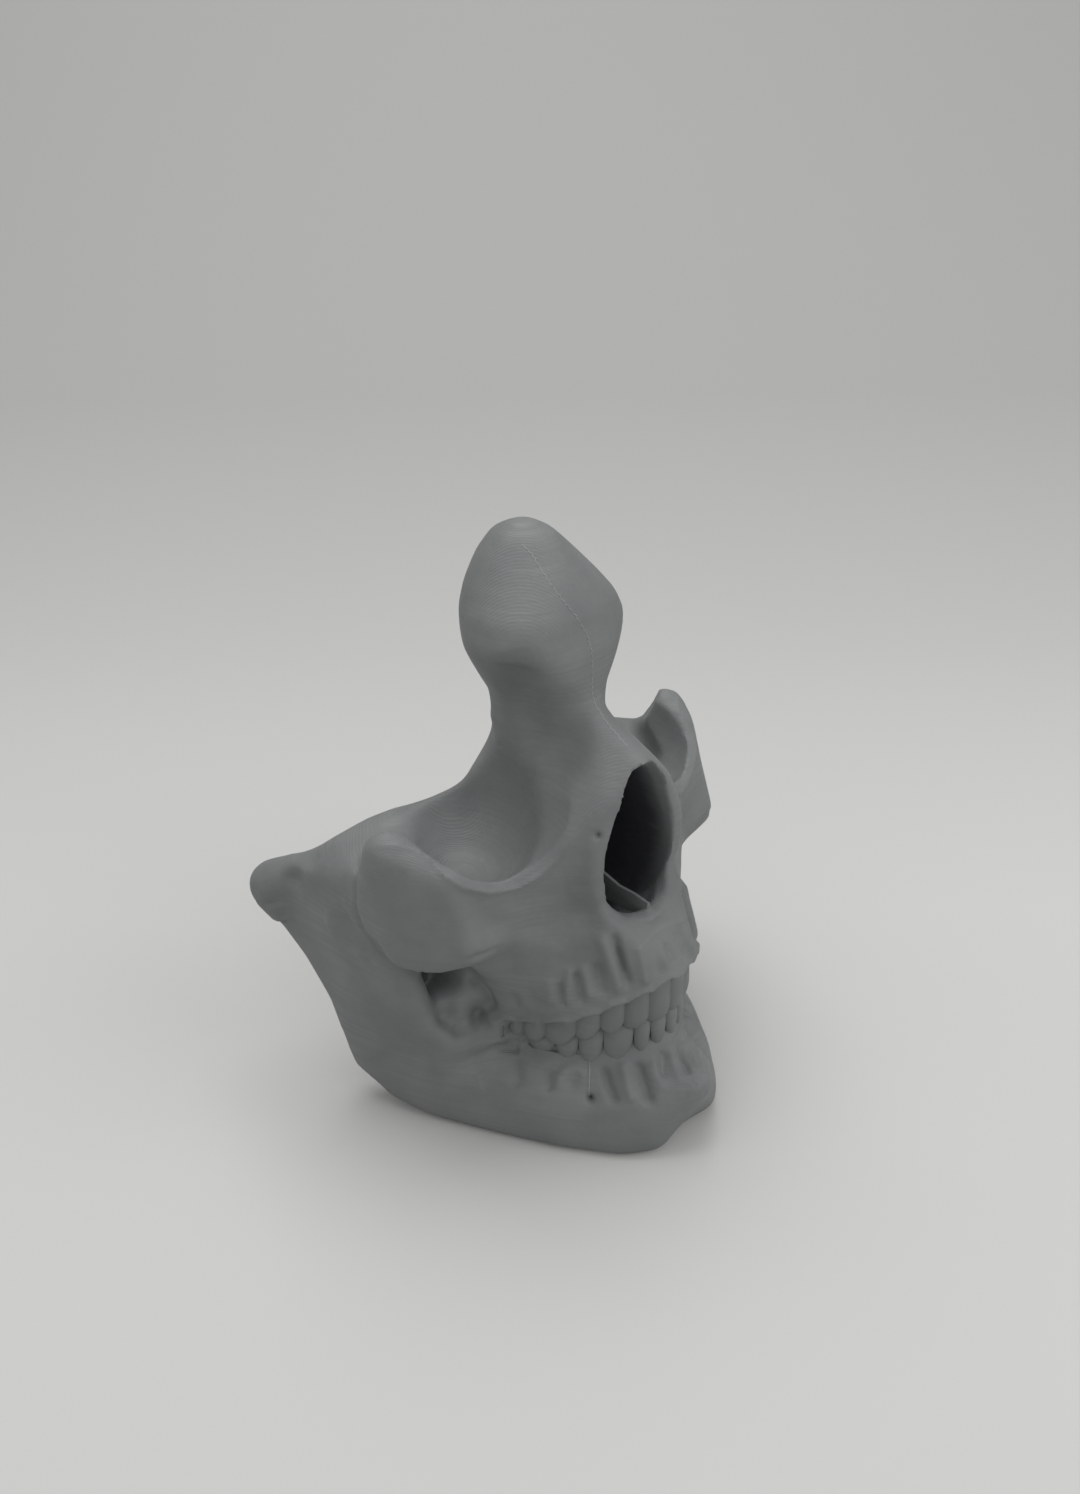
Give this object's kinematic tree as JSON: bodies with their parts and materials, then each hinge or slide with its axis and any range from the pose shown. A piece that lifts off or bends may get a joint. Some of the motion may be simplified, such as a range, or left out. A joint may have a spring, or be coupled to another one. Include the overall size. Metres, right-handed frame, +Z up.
{
  "type": "anatomical skull model",
  "caption": "Life-size skull model cut down to the face and jaw: open eye sockets, tall forehead column, deep nose opening and closed rows of teeth, standing on its flat jaw base.",
  "frame": {"origin": "under the middle of the model's box, on the table that the jaw stands on", "axes": "+Z up, from the table to the top of the forehead column; -Y is where the face looks; +X is the skull's left side"},
  "size_m": [0.1188, 0.1082, 0.1531],
  "materials": {
    "bones": "matte cool grey, with fine level print layers",
    "teeth": "matte cool grey, the same plastic as the bones"
  },
  "bodies": {
    "root": {"frontal_bone": "bones", "mandible": "bones", "maxilla": "bones", "nasal_bones": "bones", "sphenoid_bone": "bones", "vomer": "bones", "zygomatic_bone_left": "bones", "zygomatic_bone_right": "bones", "lower_incisor_1_left": "teeth", "lower_incisor_1_right": "teeth", "lower_incisor_2_left": "teeth", "lower_incisor_2_right": "teeth", "lower_canine_left": "teeth", "lower_canine_right": "teeth", "lower_premolar_1_left": "teeth", "lower_premolar_1_right": "teeth", "lower_premolar_2_left": "teeth", "lower_premolar_2_right": "teeth", "lower_molar_1_left": "teeth", "lower_molar_1_right": "teeth", "lower_molar_2_left": "teeth", "lower_molar_2_right": "teeth", "lower_molar_3_left": "teeth", "lower_molar_3_right": "teeth", "upper_incisor_1_left": "teeth", "upper_incisor_1_right": "teeth", "upper_incisor_2_left": "teeth", "upper_incisor_2_right": "teeth", "upper_canine_left": "teeth", "upper_canine_right": "teeth", "upper_premolar_1_left": "teeth", "upper_premolar_1_right": "teeth", "upper_premolar_2_left": "teeth", "upper_premolar_2_right": "teeth", "upper_molar_1_left": "teeth", "upper_molar_1_right": "teeth", "upper_molar_2_left": "teeth", "upper_molar_2_right": "teeth", "upper_molar_3_left": "teeth", "upper_molar_3_right": "teeth"}
  },
  "joints": []
}
